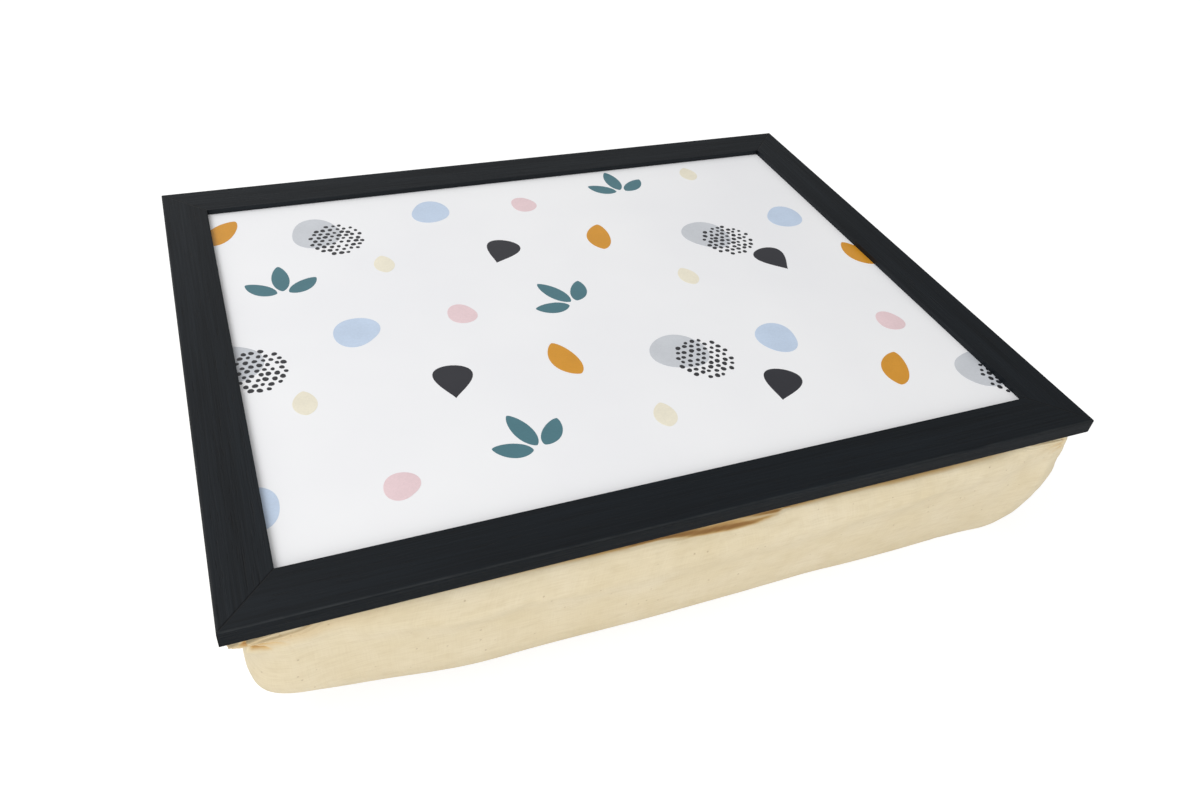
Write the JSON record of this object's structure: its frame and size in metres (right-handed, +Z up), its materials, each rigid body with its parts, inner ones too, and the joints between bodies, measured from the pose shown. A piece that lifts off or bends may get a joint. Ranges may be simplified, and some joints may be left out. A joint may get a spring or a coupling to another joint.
{
  "type": "lap tray with cushion",
  "caption": "Lap tray: a mitred dark frame round a flat printed board, on a bead filled cloth cushion stapled underneath.",
  "frame": {"origin": "middle of the flat patch under the cushion, on the surface that the tray stands on", "axes": "+X along the long side to the user's right, +Y away from the user, +Z up out of the printed face"},
  "size_m": [0.44, 0.34, 0.085],
  "materials": {
    "frame_foil": "black wood grain foil, satin",
    "laminate": "white printed laminate, satin",
    "fibreboard": "raw brown fibreboard",
    "calico": "unbleached cotton calico, plain weave",
    "beads": "white expanded polystyrene beads",
    "fastener_steel": "zinc plated steel wire and strip"
  },
  "bodies": {
    "root": {"frame_front_rail": "frame_foil", "frame_back_rail": "frame_foil", "frame_left_rail": "frame_foil", "frame_right_rail": "frame_foil", "corner_v_nails": "fastener_steel", "tray_board": "fibreboard", "printed_laminate": "laminate", "board_points": "fastener_steel", "cushion_top_panel": "calico", "cushion_cover": "calico", "bead_filling": "beads", "cushion_staples": "fastener_steel"}
  },
  "joints": []
}
